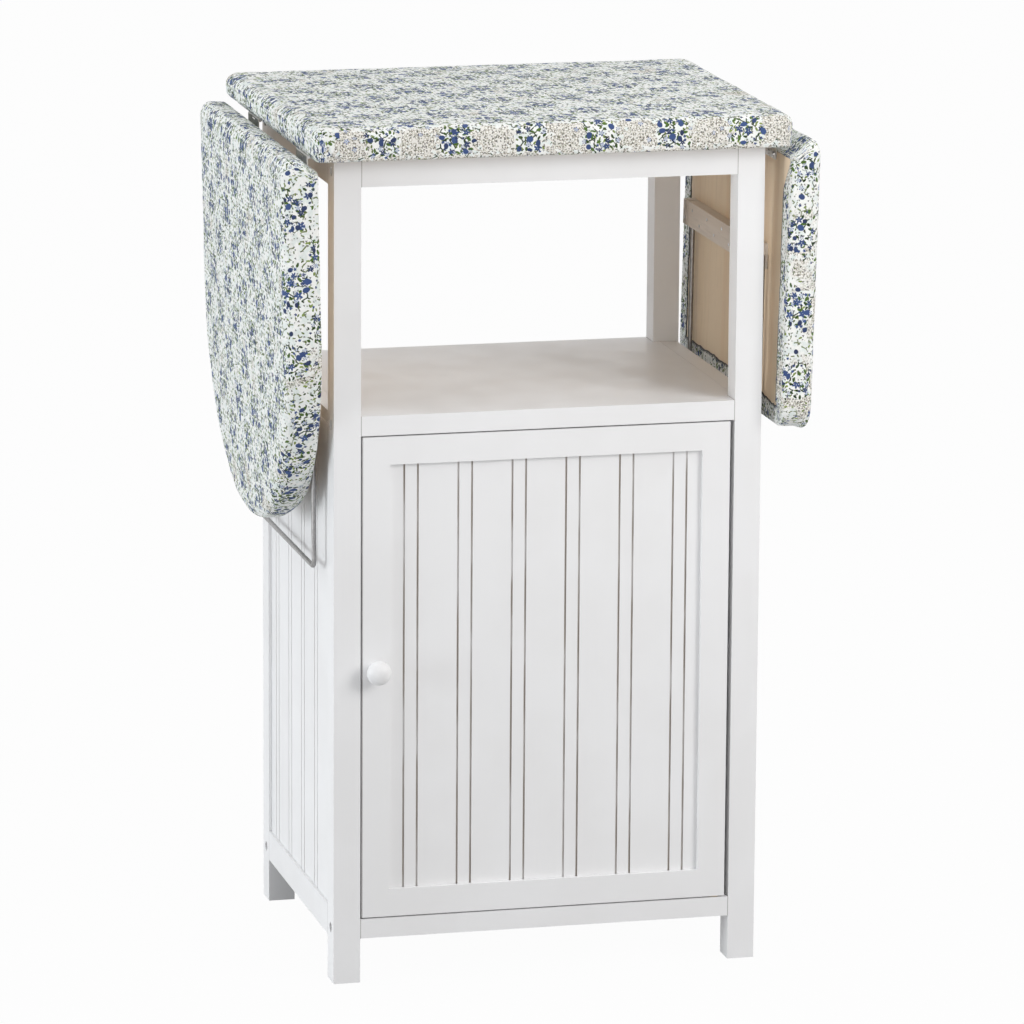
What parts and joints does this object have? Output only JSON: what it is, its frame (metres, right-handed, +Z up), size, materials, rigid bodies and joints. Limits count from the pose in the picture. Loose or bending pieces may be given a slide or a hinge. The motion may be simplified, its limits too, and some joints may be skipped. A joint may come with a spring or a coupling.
{
  "type": "ironing cabinet",
  "caption": "Free-standing white wooden ironing cabinet with a padded floral top, long rounded and short square drop leaves on wire props, an open shelf bay and a beaded door.",
  "frame": {"origin": "centre of the overall box in plan, on the floor", "axes": "+Z up, the door faces -Y, +X to the right when facing the door; the long rounded leaf is at -X"},
  "size_m": [0.5524, 0.39, 0.879],
  "materials": {
    "white_paint": "satin white paint on wood, edges slightly eased",
    "plywood": "unfinished birch plywood",
    "limed_wood": "thin pale wash over softwood",
    "padded_cover": "plain-weave cotton over foam wadding, cream-white with a small scattered pattern of blue blossoms and green leaves",
    "hinge_steel": "bright zinc-plated hinge steel",
    "prop_wire": "satin grey-coated round wire",
    "zinc_steel": "zinc-plated screws, bolts and nails",
    "washer_brass": "plain brass",
    "catch_plastic": "moulded, off-white"
  },
  "bodies": {
    "cabinet": {"front_left_post": "white_paint", "front_right_post": "white_paint", "rear_left_post": "white_paint", "rear_right_post": "white_paint", "front_top_rail": "white_paint", "rear_top_rail": "white_paint", "left_top_rail": "white_paint", "right_top_rail": "white_paint", "shelf": "white_paint", "left_middle_rail": "white_paint", "right_middle_rail": "white_paint", "front_bottom_rail": "white_paint", "rear_bottom_rail": "white_paint", "left_bottom_rail": "white_paint", "right_bottom_rail": "white_paint", "left_side_panel": "white_paint", "right_side_panel": "white_paint", "back_panel": "white_paint", "floor_board": "white_paint", "floor_cleats": "white_paint", "frame_bolts": "zinc_steel", "cross_nuts": "zinc_steel", "top_board": "plywood", "top_pad": "padded_cover", "top_screws": "zinc_steel", "door_catch": "catch_plastic", "catch_screws": "zinc_steel", "door_pivot_pins": "zinc_steel", "pivot_washer": "washer_brass", "left_fixed_hinges": "hinge_steel", "right_fixed_hinges": "hinge_steel", "fixed_hinge_screws": "zinc_steel", "left_hinge_pins": "hinge_steel", "right_hinge_pins": "hinge_steel"},
    "door": {"door_left_stile": "white_paint", "door_right_stile": "white_paint", "door_top_rail": "white_paint", "door_bottom_rail": "white_paint", "door_panel": "white_paint", "door_knob": "white_paint", "knob_screw": "zinc_steel", "strike_plate": "zinc_steel"},
    "left_leaf": {"left_leaf_board": "plywood", "left_leaf_pad": "padded_cover", "left_leaf_batten": "limed_wood", "left_batten_nails": "zinc_steel", "left_leaf_hinges": "hinge_steel", "left_hinge_screws": "zinc_steel"},
    "right_leaf": {"right_leaf_board": "plywood", "right_leaf_pad": "padded_cover", "right_leaf_batten": "limed_wood", "right_batten_nails": "zinc_steel", "right_leaf_hinges": "hinge_steel", "right_hinge_screws": "zinc_steel"},
    "left_prop": {"left_prop": "prop_wire"},
    "right_prop": {"right_prop": "prop_wire"}
  },
  "joints": [
    {"name": "door_hinge", "type": "hinge", "parent": "cabinet", "child": "door", "pos_m": [0.179, -0.1615, 0.3], "axis": [0, 0, 1], "range_deg": [0, 105]},
    {"name": "left_leaf_hinge", "type": "hinge", "parent": "cabinet", "child": "left_leaf", "pos_m": [-0.239, 0, 0.8402], "axis": [0, 1, 0], "range_deg": [0, 91.3]},
    {"name": "right_leaf_hinge", "type": "hinge", "parent": "cabinet", "child": "right_leaf", "pos_m": [0.239, 0, 0.8402], "axis": [0, -1, 0], "range_deg": [0, 91.3]},
    {"name": "left_prop_swing", "type": "hinge", "parent": "left_leaf", "child": "left_prop", "pos_m": [-0.23306, 0, 0.7193], "axis": [0, -1, 0], "range_deg": [0, 118.52]},
    {"name": "right_prop_swing", "type": "hinge", "parent": "right_leaf", "child": "right_prop", "pos_m": [0.23306, 0, 0.7193], "axis": [0, 1, 0], "range_deg": [0, 118.52]}
  ],
  "couplings": [
    {"joint": "left_prop_swing", "follows": "left_leaf_hinge", "ratio": 1.2981},
    {"joint": "right_prop_swing", "follows": "right_leaf_hinge", "ratio": 1.2981}
  ]
}
